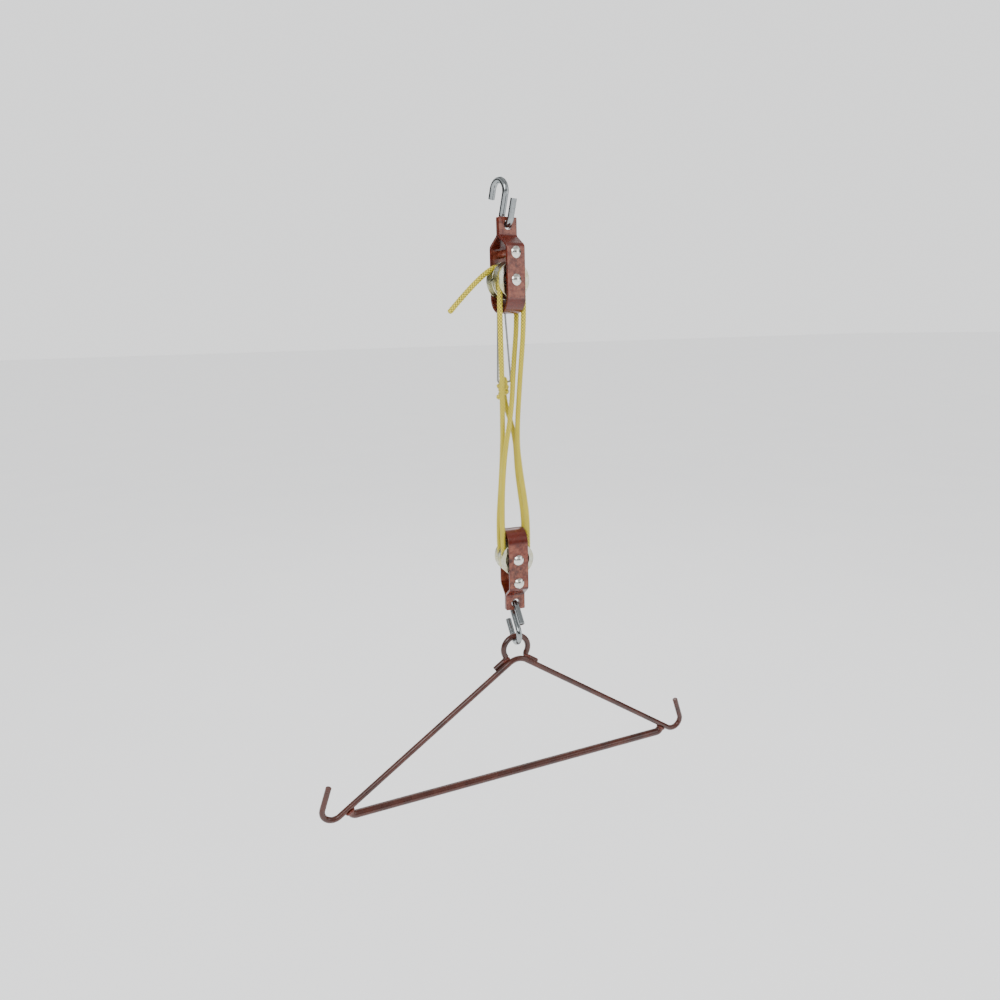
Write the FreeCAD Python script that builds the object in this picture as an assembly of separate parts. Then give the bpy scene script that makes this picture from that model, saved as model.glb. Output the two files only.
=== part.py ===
"""Four-part rope hoist: ceiling S-hook, two double-sheave blocks, rope, and a gambrel with two end hooks.

Millimetres and degrees. +Z is up. The pieces are laid out around the hoist line (X = Y = 0) with the upper
axle at height 0, then everything is moved so that the origin is the seat inside the upper S-hook's crest.
The lower block, its hook and the gambrel lie square to X and Y. The upper block is turned about Z.
"""

import FreeCAD
import Part
import math
import os

V = FreeCAD.Vector
UP = V(0, 0, 1)

# Rope and sheaves
ROPE_DIA = 6.35
ROPE_LINE_R = 17.2          # sheave axis to rope centre line
GROOVE_CLEARANCE = 0.3
SHEAVE_WIDTH = 13.6
SHEAVE_FLANGE_R = 22.5
RIM_THICK = 1.5             # each flange, at its rim
HUB_R = 8.6
WEB_R = 16.6                # outer edge of the dished web
WEB_DISH = 1.6
RIM_ROUND = 0.6

# Axle, bushes and washers
AXLE_DIA = 8.0
AXLE_CLEARANCE = 0.05       # radial, bush on axle
BUSH_WALL = 1.4
WASHER_DIA = 15.0
WASHER_THICK = 1.2
WASHER_CLEARANCE = 0.15     # radial, washer on axle
END_PLAY = 0.3              # each side of each sheave

# Block strap
STRAP_WIDTH = 27.0
STRAP_THICK = 3.0
STRAP_EDGE_ROUND = 0.7
PLY_GAP = 0.2               # between the two plies of the neck
CHEEK_BEND_R = 5.0          # centre line of the shoulder bends
AXLE_TO_SPACER = 32.0
AXLE_TO_BEND_CENTRE = 21.0
AXLE_TO_HOOK_HOLE = 65.0
HOLE_TO_NECK_END = 9.0
NECK_LENGTH = 22.0
SHOULDER_LENGTH = 12.0
NECK_CORNER_R = 1.5
HOOK_HOLE_DIA = 11.5

# Rivets and spacer
RIVET_HEAD_DIA = 14.0
RIVET_HEAD_HEIGHT = 3.8
RIVET_HOLE_CLEARANCE = 0.1  # radial
SPACER_RIVET_DIA = 6.35
SPACER_TUBE_DIA = 10.0
SPACER_TUBE_CLEARANCE = 0.2

# Where the blocks are
AXLE_SPACING = 356.0        # upper axle to lower axle
UPPER_TWIST = 15.0          # upper block turned about Z

# S-hooks, bent alike but for their free legs
HOOK_ROD_DIA = 7.94
HOOK_LARGE_R = 14.0         # centre line radii
HOOK_SMALL_R = 9.5
HOOK_SHANK = 23.5
UPPER_HOOK_LARGE_LEG = 11.5
UPPER_HOOK_SMALL_LEG = 23.0
LOWER_HOOK_LARGE_LEG = 26.0
LOWER_HOOK_SMALL_LEG = 27.0
HOOK_END_ROUND = 0.8
UPPER_HOOK_LEAN = 19.0      # shank away from vertical
CONTACT_GAP = 0.3           # between links that only touch

# Becket link and knot
LINK_WIRE_DIA = 2.4
LINK_BEND_R = 3.0
LINK_TOP_LIFT = 2.5         # wire centre above the bend's inner face
LINK_EDGE_GAP = 2.5         # wire centre outside the strap's edge
LINK_HOLE_X = -5.6
LINK_HOLE_DIA = 5.6
LINK_BOTTOM_HALF = 10.0
LINK_BOTTOM = V(-3.9, 7.0, -124.0)   # middle of the lower bar, in the upper block's frame
KNOT_R = 7.2
KNOT_HEIGHT = 29.0
KNOT_DROP = 7.0             # knot's middle below the link's lower bar
KNOT_SHIFT = -1.6
TAIL_LENGTH = 12.0

# Hauling part: angles away from vertical, and run, before and after its slight bend
HAUL_ANGLE = 82.0
HAUL_RUN = 26.0
HAUL_FAR_ANGLE = 46.0
HAUL_FAR_RUN = 74.0

# Gambrel
GAMBREL_ROD_DIA = 7.94
EYE_R = 18.2                # centre line
EYE_NECK_ANGLE = 55.0       # half of the eye's open angle at the bottom
EYE_FOOT_LENGTH = 17.0
EYE_FOOT_BEND_R = 6.0
APEX_DROP = 8.2             # eye's centre to the point where the arms' lines meet
ARM_SLOPE = 34.4            # below horizontal
APEX_BEND_R = 22.0
ARM_REACH = 265.0           # middle to the centre of the end hook's bend
END_HOOK_R = 14.0
END_HOOK_LEAN = 18.6        # tip leg towards the middle
END_HOOK_LEG = 32.0
FOOT_LIFT = 3.0             # foot above the arm, in the gambrel's plane
BAR_DIA = 11.0
BAR_INSET = 26.0            # turned-up end's centre line inside the end hook's centre
BAR_DROP = 15.0             # bar's centre line below the arm, at its end
BAR_BEND_R = 8.0
GAMBREL_YAW = 4.0           # turned about Z as it hangs
GAMBREL_TILT = 1.9          # the gambrel's plane leans until its weight is under the eye
WELD_R = 2.2
WELD_GAP = 0.6              # bar's end to the arm's underside
WELD_LEG = 2.0
EYE_WELD_LIFT = 4.3         # above the arm's line, square to it
EYE_WELD_START = 9.0        # along X, where the bead's ends are
EYE_WELD_END = 17.0

BAR_HALF = ARM_REACH - BAR_INSET
BUSH_R = AXLE_DIA / 2 + AXLE_CLEARANCE + BUSH_WALL
INNER_GAP = 2 * SHEAVE_WIDTH + 3 * WASHER_THICK + 4 * END_PLAY
CHEEK_Y = INNER_GAP / 2 + STRAP_THICK / 2
BLOCK_DEPTH = INNER_GAP + 2 * STRAP_THICK
SHEAVE_Y = WASHER_THICK / 2 + END_PLAY + SHEAVE_WIDTH / 2
ROPE_R = ROPE_DIA / 2
HOOK_ROD_R = HOOK_ROD_DIA / 2


# Building blocks

def line(a, b):
    return Part.LineSegment(a, b).toShape()


def corner(before, at, after, radius):
    """Tangent arc that rounds the corner: its start, its edge and its end."""
    back = (before - at).normalize()
    ahead = (after - at).normalize()
    half = back.getAngle(ahead) / 2
    trim = radius / math.tan(half)
    start = at + back * trim
    end = at + ahead * trim
    bisector = (back + ahead).normalize()
    middle = at + bisector * (radius / math.sin(half) - radius)
    return start, Part.Arc(start, middle, end).toShape(), end


def path(points, radii, closed=False):
    """Wire of straight runs joined by tangent arcs, one radius for each corner."""
    count = len(points)
    edges = []
    if closed:
        here = (points[-1] + points[0]) * 0.5
        first = here
        order = range(count)
    else:
        here = points[0]
        order = range(1, count - 1)
    for i, radius in zip(order, radii):
        start, arc, end = corner(points[i - 1], points[i], points[(i + 1) % count], radius)
        edges += [line(here, start), arc]
        here = end
    edges.append(line(here, first if closed else points[-1]))
    return Part.Wire(edges)


def sweep(wire, section):
    return wire.makePipeShell([section], True, False)


def rod(wire, diameter, end_round=0.0):
    """Round rod along a wire, its two end faces' edges rounded."""
    edge = wire.Edges[0]
    start = edge.valueAt(edge.FirstParameter)
    along = edge.tangentAt(edge.FirstParameter)
    circle = Part.Wire(Part.Circle(start, along, diameter / 2).toShape())
    solid = sweep(wire, circle)
    if end_round:
        flat = [face for face in solid.Faces if isinstance(face.Surface, Part.Plane)]
        solid = solid.makeFillet(end_round, [e for face in flat for e in face.Edges])
    return solid


def tube(inner_r, outer_r, length, middle):
    """Tube along Y, centred on a point."""
    base = middle - V(0, length / 2, 0)
    outer = Part.makeCylinder(outer_r, length, base, V(0, 1, 0))
    return outer.cut(Part.makeCylinder(inner_r, length, base, V(0, 1, 0)))


def turned(points, arcs, axis_point, axis):
    """Solid of revolution; arcs maps the index of a side to a point that its arc passes through."""
    edges = []
    for i, point in enumerate(points):
        after = points[(i + 1) % len(points)]
        if i in arcs:
            edges.append(Part.Arc(point, arcs[i], after).toShape())
        else:
            edges.append(line(point, after))
    return Part.Face(Part.Wire(edges)).revolve(axis_point, axis, 360)


def moved(shape, offset):
    copy = shape.copy()
    copy.translate(offset)
    return copy


def spun(shape, axis, angle, about=V(0, 0, 0)):
    copy = shape.copy()
    copy.rotate(about, axis, angle)
    return copy


def flip(point):
    """A point's mirror image on the gambrel's left."""
    return V(-point.x, point.y, point.z)


def rotated(point, angle):
    """A point turned about the hoist line."""
    turn = FreeCAD.Rotation(UP, angle)
    return turn.multVec(point)


# One block, built with its neck upwards and its axle at the origin

def strap():
    neck_y = (STRAP_THICK + PLY_GAP) / 2
    top = AXLE_TO_HOOK_HOLE + HOLE_TO_NECK_END
    neck_end = top - NECK_LENGTH
    cheek_top = neck_end - SHOULDER_LENGTH
    bend = -AXLE_TO_BEND_CENTRE
    half = [V(0, -neck_y, top), V(0, -neck_y, neck_end), V(0, -CHEEK_Y, cheek_top)]
    bottom = [V(0, -CHEEK_Y, bend - CHEEK_Y), V(0, CHEEK_Y, bend - CHEEK_Y)]
    points = half + bottom + [V(0, -p.y, p.z) for p in reversed(half)]
    shoulder = [CHEEK_BEND_R, CHEEK_BEND_R]
    round_end = [CHEEK_Y - 0.001, CHEEK_Y - 0.001]
    spine = path(points, shoulder + round_end + shoulder)
    solid = sweep(spine, strap_section(points[0]))
    for height, radius in ((0, AXLE_DIA / 2), (AXLE_TO_SPACER, SPACER_RIVET_DIA / 2)):
        solid = solid.cut(hole_y(height, radius + RIVET_HOLE_CLEARANCE))
    solid = solid.cut(hole_y(AXLE_TO_HOOK_HOLE, HOOK_HOLE_DIA / 2))
    return solid.cut(neck_corners(top))


def strap_section(at):
    """Strip's cross-section, its four long edges rounded."""
    x = STRAP_WIDTH / 2
    y = STRAP_THICK / 2
    corners = [V(x, y, 0), V(-x, y, 0), V(-x, -y, 0), V(x, -y, 0)]
    return path([p + at for p in corners], [STRAP_EDGE_ROUND] * 4, closed=True)


def hole_y(height, radius):
    return Part.makeCylinder(radius, 2 * BLOCK_DEPTH, V(0, -BLOCK_DEPTH, height), V(0, 1, 0))


def neck_corners(top):
    """What rounds the two corners of the neck's end."""
    pieces = []
    for side in (-1, 1):
        x = side * STRAP_WIDTH / 2
        inner = side * (STRAP_WIDTH / 2 - NECK_CORNER_R)
        low = V(min(x, inner), -BLOCK_DEPTH / 2, top - NECK_CORNER_R)
        square = Part.makeBox(NECK_CORNER_R, BLOCK_DEPTH, NECK_CORNER_R, low)
        centre = V(inner, -BLOCK_DEPTH / 2, top - NECK_CORNER_R)
        round_part = Part.makeCylinder(NECK_CORNER_R, BLOCK_DEPTH, centre, V(0, 1, 0))
        pieces.append(square.cut(round_part))
    return pieces[0].fuse(pieces[1])


def link_hole():
    low = V(LINK_HOLE_X, 0, -AXLE_TO_BEND_CENTRE - BLOCK_DEPTH)
    return Part.makeCylinder(LINK_HOLE_DIA / 2, BLOCK_DEPTH, low)


def rivet(diameter, height):
    """Rivet along Y through both cheeks, domed at both ends."""
    face = BLOCK_DEPTH / 2
    shank = Part.makeCylinder(diameter / 2, BLOCK_DEPTH, V(0, -face, height), V(0, 1, 0))
    solid = shank
    for side in (-1, 1):
        solid = solid.fuse(rivet_head(side, side * face, height))
    return solid.removeSplitter()


def rivet_head(side, face, height):
    radius = RIVET_HEAD_DIA / 2
    rim = RIVET_HEAD_HEIGHT * 0.15
    base = V(0, face, height)
    sphere_r = (radius ** 2 + (RIVET_HEAD_HEIGHT - rim) ** 2) / (2 * (RIVET_HEAD_HEIGHT - rim))
    centre_y = RIVET_HEAD_HEIGHT - sphere_r
    tilt = math.atan2(radius / 2, math.sqrt(sphere_r ** 2 - radius ** 2 / 4))
    points = [
        base,
        base + V(radius, 0, 0),
        base + V(radius, side * rim, 0),
        base + V(0, side * RIVET_HEAD_HEIGHT, 0),
    ]
    on_dome = base + V(sphere_r * math.sin(tilt), side * (centre_y + sphere_r * math.cos(tilt)), 0)
    return turned(points, {2: on_dome}, base, V(0, 1, 0))


def sheave(y):
    """Grooved wheel on the Y axis with a dished web on both faces."""
    half = SHEAVE_WIDTH / 2
    groove = ROPE_R + GROOVE_CLEARANCE
    slope = WEB_DISH
    side = [
        V(BUSH_R, half, 0),
        V(HUB_R, half, 0),
        V(HUB_R + slope, half - WEB_DISH, 0),
        V(WEB_R - slope, half - WEB_DISH, 0),
        V(WEB_R, half, 0),
        V(SHEAVE_FLANGE_R - RIM_ROUND, half, 0),
        V(SHEAVE_FLANGE_R, half - RIM_ROUND, 0),
        V(SHEAVE_FLANGE_R, half - RIM_THICK, 0),
        V(ROPE_LINE_R, groove, 0),
    ]
    points = side + [V(p.x, -p.y, 0) for p in reversed(side)]
    bottom = V(ROPE_LINE_R - groove, 0, 0)
    turn = RIM_ROUND * (1 - math.sqrt(0.5))
    rim = V(SHEAVE_FLANGE_R - turn, half - turn, 0)
    arcs = {5: rim, 8: bottom, 11: V(rim.x, -rim.y, 0)}
    return moved(turned(points, arcs, V(0, 0, 0), V(0, 1, 0)), V(0, y, 0))


def bush(y):
    return tube(AXLE_DIA / 2 + AXLE_CLEARANCE, BUSH_R, SHEAVE_WIDTH, V(0, y, 0))


def washers():
    """Thrust washers: against each cheek, and between the sheaves."""
    outer = INNER_GAP / 2 - WASHER_THICK / 2
    inner_r = AXLE_DIA / 2 + WASHER_CLEARANCE
    rings = [tube(inner_r, WASHER_DIA / 2, WASHER_THICK, V(0, y, 0)) for y in (-outer, 0, outer)]
    return Part.makeCompound(rings)


def spacer_tube():
    inner_r = SPACER_RIVET_DIA / 2 + SPACER_TUBE_CLEARANCE
    return tube(inner_r, SPACER_TUBE_DIA / 2, INNER_GAP, V(0, 0, AXLE_TO_SPACER))


def block(name):
    """Every piece of one block, as it stands with its neck upwards."""
    return {
        name + "_block_strap": strap(),
        name + "_axle_rivet": rivet(AXLE_DIA, 0),
        name + "_spacer_rivet": rivet(SPACER_RIVET_DIA, AXLE_TO_SPACER),
        name + "_spacer_tube": spacer_tube(),
        name + "_front_sheave": sheave(-SHEAVE_Y),
        name + "_rear_sheave": sheave(SHEAVE_Y),
        name + "_front_bush": bush(-SHEAVE_Y),
        name + "_rear_bush": bush(SHEAVE_Y),
        name + "_sheave_washers": washers(),
    }


# S-hooks. The small loop's lowest centre-line point is at the origin, the hook lies in the YZ plane.

def s_hook(lean, large_leg, small_leg):
    """S-hook with its small loop down and its large loop up, open towards +Y."""
    large = V(0, HOOK_LARGE_R, HOOK_SHANK / 2)
    small = V(0, -HOOK_SMALL_R, -HOOK_SHANK / 2)
    large_top = large + V(0, 0, HOOK_LARGE_R)
    small_bottom = small - V(0, 0, HOOK_SMALL_R)
    far = large + V(0, HOOK_LARGE_R, 0)
    near = small - V(0, HOOK_SMALL_R, 0)
    shank_top = V(0, 0, HOOK_SHANK / 2)
    shank_bottom = V(0, 0, -HOOK_SHANK / 2)
    wire = Part.Wire([
        line(far - V(0, 0, large_leg), far),
        Part.Arc(far, large_top, shank_top).toShape(),
        line(shank_top, shank_bottom),
        Part.Arc(shank_bottom, small_bottom, near).toShape(),
        line(near, near + V(0, 0, small_leg)),
    ])
    solid = rod(wire, HOOK_ROD_DIA, HOOK_END_ROUND)
    solid = spun(solid, V(1, 0, 0), lean)
    turn = FreeCAD.Rotation(V(1, 0, 0), lean)
    return moved(solid, V(0, 0, HOOK_SMALL_R) - turn.multVec(small))


def hook_span(lean):
    """From the small loop's lowest centre-line point to the large loop's highest, as (y, z)."""
    turn = FreeCAD.Rotation(V(1, 0, 0), lean)
    centres = turn.multVec(V(0, HOOK_LARGE_R + HOOK_SMALL_R, HOOK_SHANK))
    return centres + V(0, 0, HOOK_LARGE_R + HOOK_SMALL_R)


def hanging_lean():
    """Lean at which the two loops' bearing points are one above the other."""
    return math.degrees(math.atan2(HOOK_LARGE_R + HOOK_SMALL_R, HOOK_SHANK))


def rod_in_hole():
    """Hook rod's centre above the hook hole's centre when the neck hangs on the small loop."""
    neck_half = STRAP_THICK + PLY_GAP / 2
    inner_r = HOOK_SMALL_R - HOOK_ROD_R
    rise = HOOK_SMALL_R - math.sqrt(inner_r ** 2 - neck_half ** 2)
    return HOOK_HOLE_DIA / 2 - CONTACT_GAP - rise


UPPER_PIVOT_Z = AXLE_TO_HOOK_HOLE + rod_in_hole()
LOWER_PIVOT_Z = -AXLE_SPACING - UPPER_PIVOT_Z
HOOK_BOTTOM_Z = LOWER_PIVOT_Z - hook_span(hanging_lean()).z
EYE_Z = HOOK_BOTTOM_Z + HOOK_ROD_R + CONTACT_GAP + GAMBREL_ROD_DIA / 2 - EYE_R
CREST = rotated(hook_span(UPPER_HOOK_LEAN), UPPER_TWIST) + V(0, 0, UPPER_PIVOT_Z)
SEAT = CREST - V(0, 0, HOOK_ROD_R)


# Becket link and knot, in the upper block's frame

def becket_link():
    """Closed wire loop through the bend's hole and round the strap's left edge."""
    bend_top = -AXLE_TO_BEND_CENTRE - INNER_GAP / 2
    top_z = bend_top + LINK_TOP_LIFT
    left = V(-STRAP_WIDTH / 2 - LINK_EDGE_GAP, 0, top_z)
    right = V(LINK_HOLE_X, 0, top_z)
    low_left = LINK_BOTTOM - V(LINK_BOTTOM_HALF, 0, 0)
    low_right = LINK_BOTTOM + V(LINK_BOTTOM_HALF, 0, 0)
    wire = path([left, right, low_right, low_left], [LINK_BEND_R] * 4, closed=True)
    return rod(wire, LINK_WIRE_DIA)


def knot_middle():
    return LINK_BOTTOM + V(KNOT_SHIFT, 0, -KNOT_DROP)


def becket_knot():
    """Outer shape of the knot, with its two short tails."""
    middle = knot_middle()
    straight = KNOT_HEIGHT - 2 * KNOT_R
    low = middle - V(0, 0, straight / 2)
    solid = Part.makeCylinder(KNOT_R, straight, low)
    for end in (low, low + V(0, 0, straight)):
        solid = solid.fuse(Part.makeSphere(KNOT_R, end))
    for height, drop in ((2.5, -1.0), (-8.0, -3.0)):
        start = middle + V(0, 0, height)
        along = V(-TAIL_LENGTH, -2, drop)
        solid = solid.fuse(Part.makeCylinder(ROPE_R * 0.9, TAIL_LENGTH, start, along))
    return solid.removeSplitter().cut(becket_link())


# Rope. A route is a list of corners; a None splits the route on the run that it stands in.

def wrap(centre, twist, y, start, sweep_angle, count):
    """Corners of the rope's line round a sheave, evenly spaced."""
    step = sweep_angle / count
    reach = ROPE_LINE_R / math.cos(math.radians(step / 2))
    corners = []
    for i in range(count):
        angle = math.radians(start + step * (i + 0.5))
        corners.append(rotated(V(reach * math.cos(angle), y, reach * math.sin(angle)), twist) + centre)
    return corners


# Strands between the blocks, top to bottom, as (x, y, z)
STRAND_1 = [
    V(15.6, 12.1, -50), V(6.6, 4.0, -104), V(-0.5, -5.4, -160),
    V(-12.3, -8.8, -212), V(-16.8, -8.6, -262), V(-17.8, -7.7, -306),
]
STRAND_2 = [
    V(19.6, -2.7, -50), V(12.8, -2.4, -120), V(6.6, -2.2, -196),
    V(10.4, -3.9, -240), V(15.2, -5.6, -276), V(17.8, -7.7, -306),
]
STRAND_3 = [
    V(-15.6, -12.1, -50), V(-13.4, -7.6, -108), V(-11.8, -1.6, -168),
    V(-10.8, 3.4, -206), V(-14.2, 5.6, -262), V(-17.8, 7.7, -306),
]
STRAND_4 = [
    V(-5.4, 6.6, -152), V(4.6, 6.0, -182), V(8.5, 6.2, -210),
    V(9.4, 6.6, -240), V(13.8, 6.8, -276), V(17.8, 7.7, -306),
]


def falling(angle):
    """Direction to the left and down, at an angle from vertical."""
    return V(-math.sin(math.radians(angle)), 0, -math.cos(math.radians(angle)))


def rope_route():
    """The whole rope from its free end to the knot; None marks the cuts between its nodes."""
    upper = V(0, 0, 0)
    lower = V(0, 0, -AXLE_SPACING)
    over = 180.0 - HAUL_ANGLE
    away = math.radians(HAUL_ANGLE)
    tangent = V(-ROPE_LINE_R * math.cos(away), SHEAVE_Y, ROPE_LINE_R * math.sin(away))
    bend = tangent + falling(HAUL_ANGLE) * HAUL_RUN
    free_end = bend + falling(HAUL_FAR_ANGLE) * HAUL_FAR_RUN
    haul = [rotated(free_end, UPPER_TWIST), rotated(bend, UPPER_TWIST)]
    haul_turn = wrap(upper, UPPER_TWIST, SHEAVE_Y, over, -over, 3)
    front_turn = wrap(upper, UPPER_TWIST, -SHEAVE_Y, 0, 180, 4)
    low_front_turn = wrap(lower, 0, -SHEAVE_Y, 180, 180, 4)
    low_rear_turn = wrap(lower, 0, SHEAVE_Y, 180, 180, 4)
    knot = rotated(knot_middle(), UPPER_TWIST)
    route = haul + [None] + haul_turn + [None] + STRAND_1 + [None] + low_front_turn
    route += [None] + list(reversed(STRAND_2)) + [None] + front_turn + [None] + STRAND_3
    route += [None] + low_rear_turn + [None] + list(reversed(STRAND_4)) + [knot]
    cuts = {
        "haul": rotated(tangent, UPPER_TWIST),
        "top": 0.0,
        "bottom": -AXLE_SPACING,
    }
    return route, cuts


ROPE_NODES = [
    "rope_hauling_part", "rope_turn_upper_rear", "rope_strand_1", "rope_turn_lower_front", "rope_strand_2",
    "rope_turn_upper_front", "rope_strand_3", "rope_turn_lower_rear", "rope_strand_4",
]


def cut_point(before, after, cuts):
    """Where the run between two corners is cut: at its axle's height, or at the hauling part's tangent."""
    if before.z < -AXLE_SPACING / 2 or after.z < -AXLE_SPACING / 2:
        height = cuts["bottom"]
    elif before.x < -1.5 * ROPE_LINE_R:
        return cuts["haul"]
    else:
        height = cuts["top"]
    share = (height - before.z) / (after.z - before.z)
    return before + (after - before) * share


def rope_sections():
    """Wires of the rope's nodes, each a chain of straight runs and tangent arcs, and the arcs' radii."""
    route, cuts = rope_route()
    corners = [p for p in route if p is not None]
    arcs = {}
    radii = []
    for i in range(1, len(corners) - 1):
        before, at, after = corners[i - 1], corners[i], corners[i + 1]
        shorter = min((at - before).Length, (after - at).Length)
        turn = (at - before).getAngle(after - at)
        radius = 0.45 * shorter / math.tan(turn / 2)
        radii.append(radius)
        arcs[i] = corner(before, at, after, radius)
    wires = []
    edges = []
    here = corners[0]
    index = 0
    for point in route[1:]:
        if point is None:
            cut = cut_point(corners[index], corners[index + 1], cuts)
            edges.append(line(here, cut))
            wires.append(Part.Wire(edges))
            edges = []
            here = cut
            continue
        index += 1
        if index in arcs:
            start, arc, end = arcs[index]
            edges += [line(here, start), arc]
            here = end
    edges.append(line(here, corners[-1]))
    wires.append(Part.Wire(edges))
    return wires, radii


def rope():
    wires, radii = rope_sections()
    nodes = {}
    for name, wire in zip(ROPE_NODES, wires):
        solid = rod(wire, ROPE_DIA)
        expected = math.pi * ROPE_R ** 2 * wire.Length
        print(f"{name}: length {wire.Length:.1f}, volume over section x length {solid.Volume / expected:.4f}")
        nodes[name] = solid
    print("rope arc radii:", " ".join(f"{r:.1f}" for r in radii))
    print(f"rope length {sum(w.Length for w in wires):.1f}")
    return nodes


# Gambrel, built in the XZ plane with the eye's centre at the origin

def arm_point(x):
    """On the right arm's centre line."""
    return V(x, 0, -APEX_DROP - x * math.tan(math.radians(ARM_SLOPE)))


def end_hook_centre():
    """Centre of the right end hook's bend: END_HOOK_R above the arm's line, square to it."""
    slope = math.radians(ARM_SLOPE)
    foot = arm_point(ARM_REACH - END_HOOK_R * math.sin(slope))
    return foot + V(math.sin(slope), 0, math.cos(slope)) * END_HOOK_R


def frame_rod():
    """Both arms in one rod: apex bend, straight arms, an open hook at each end."""
    slope = math.radians(ARM_SLOPE)
    lean = math.radians(END_HOOK_LEAN)
    centre = end_hook_centre()
    arm_end = centre - V(math.sin(slope), 0, math.cos(slope)) * END_HOOK_R
    low = centre + V(math.sin(math.radians(30)), 0, -math.cos(math.radians(30))) * END_HOOK_R
    leg_start = centre + V(math.cos(lean), 0, math.sin(lean)) * END_HOOK_R
    tip = leg_start + V(-math.sin(lean), 0, math.cos(lean)) * END_HOOK_LEG
    apex = arm_point(0)
    start, apex_arc, end = corner(flip(arm_end), apex, arm_end, APEX_BEND_R)
    wire = Part.Wire([
        line(flip(tip), flip(leg_start)),
        Part.Arc(flip(leg_start), flip(low), flip(arm_end)).toShape(),
        line(flip(arm_end), start),
        apex_arc,
        line(end, arm_end),
        Part.Arc(arm_end, low, leg_start).toShape(),
        line(leg_start, tip),
    ])
    return moved(rod(wire, GAMBREL_ROD_DIA, HOOK_END_ROUND), V(0, -frame_offset(), 0))


def frame_offset():
    """How far the frame rod and bar lie in front of the eye, so that the feet touch the arms."""
    return math.sqrt(GAMBREL_ROD_DIA ** 2 - FOOT_LIFT ** 2)


def foot_line(x):
    """On the right foot's centre line, which runs along the arm and FOOT_LIFT above it."""
    slope = math.radians(ARM_SLOPE)
    return arm_point(x) + V(math.sin(slope), 0, math.cos(slope)) * FOOT_LIFT


def gambrel_eye():
    """Omega-shaped rod: a ring, open at the bottom, with a foot along each arm."""
    open_half = math.radians(EYE_NECK_ANGLE)
    leg = V(EYE_R * math.sin(open_half), 0, -EYE_R * math.cos(open_half))
    inward = V(-math.cos(open_half), 0, -math.sin(open_half))
    slope = math.radians(ARM_SLOPE)
    along = V(math.cos(slope), 0, -math.sin(slope))
    base = foot_line(0)
    share = cross_xz(base - leg, along) / cross_xz(inward, along)
    knee = leg + inward * share
    toe = knee + along * (EYE_FOOT_LENGTH + EYE_FOOT_BEND_R)
    start, bend, end = corner(leg, knee, toe, EYE_FOOT_BEND_R)
    start_l, bend_l, end_l = corner(flip(toe), flip(knee), flip(leg), EYE_FOOT_BEND_R)
    wire = Part.Wire([
        line(flip(toe), start_l),
        bend_l,
        line(end_l, flip(leg)),
        Part.Arc(flip(leg), V(0, 0, EYE_R), leg).toShape(),
        line(leg, start),
        bend,
        line(end, toe),
    ])
    return rod(wire, GAMBREL_ROD_DIA, HOOK_END_ROUND)


def cross_xz(a, b):
    return a.x * b.z - a.z * b.x


def cross_bar():
    """Thick bar under the arms, each end turned up square to the arm and stopped short of its underside."""
    top = bar_top()
    elbow = V(BAR_HALF, 0, arm_point(BAR_HALF).z - BAR_DROP)
    points = [V(-top.x, 0, top.z), flip(elbow), elbow, V(top.x, 0, top.z)]
    straight = (points[3] - elbow).Length
    radius = min(BAR_BEND_R, 0.9 * straight / math.tan(math.radians(90 - ARM_SLOPE) / 2))
    solid = rod(path(points, [radius, radius]), BAR_DIA)
    return moved(solid, V(0, -frame_offset(), 0))


def weld(a, b):
    """Weld bead as a short round-ended run."""
    solid = Part.makeCylinder(WELD_R, (b - a).Length, a, b - a)
    return solid.fuse([Part.makeSphere(WELD_R, a), Part.makeSphere(WELD_R, b)]).removeSplitter()


def eye_bead():
    """Weld between the right foot and the arm, before they are cut out of it."""
    slope = math.radians(ARM_SLOPE)
    lift = V(math.sin(slope), 0, math.cos(slope)) * EYE_WELD_LIFT - V(0, frame_offset() / 2, 0)
    return weld(arm_point(EYE_WELD_START) + lift, arm_point(EYE_WELD_END) + lift)


def both_sides(weld_piece):
    """The right side's weld and its mirror image."""
    left = weld_piece.mirror(V(0, 0, 0), V(1, 0, 0))
    return Part.makeCompound(left.Solids + weld_piece.Solids)


def gambrel():
    frame = frame_rod()
    eye = gambrel_eye()
    bar = cross_bar()
    eye_weld = eye_bead().cut(eye).cut(frame)
    bar_weld = ring_weld().cut(bar).cut(frame)
    return {
        "gambrel_frame_rod": frame,
        "gambrel_eye": eye,
        "gambrel_cross_bar": bar,
        "gambrel_eye_welds": both_sides(eye_weld),
        "gambrel_bar_welds": both_sides(bar_weld),
    }


def bar_top():
    """Middle of the right turned-up end's face."""
    slope = math.radians(ARM_SLOPE)
    length = BAR_DROP * math.cos(slope) - GAMBREL_ROD_DIA / 2 - WELD_GAP
    elbow = V(BAR_HALF, -frame_offset(), arm_point(BAR_HALF).z - BAR_DROP)
    return elbow + V(math.sin(slope), 0, math.cos(slope)) * length


def ring_weld():
    """Weld round the bar's right end, filling the gap to the arm and standing a little up its sides."""
    slope = math.radians(ARM_SLOPE)
    normal = V(math.sin(slope), 0, math.cos(slope))
    height = WELD_GAP + 2 * WELD_LEG
    solid = Part.makeCylinder(BAR_DIA / 2 + WELD_LEG * 0.7, height, bar_top() - normal * WELD_LEG, normal)
    rims = [edge for edge in solid.Edges if isinstance(edge.Curve, Part.Circle)]
    return solid.makeFillet(WELD_LEG * 0.6, rims)


# Putting it together

def place(shapes, twist=0.0, height=0.0, flipped=False):
    """Turns a block's pieces upside down if asked, then about Z, and lifts them to their height."""
    placed = {}
    for name, shape in shapes.items():
        if flipped:
            shape = spun(shape, V(0, 1, 0), 180)
        placed[name] = moved(spun(shape, UP, twist), V(0, 0, height))
    return placed


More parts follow.
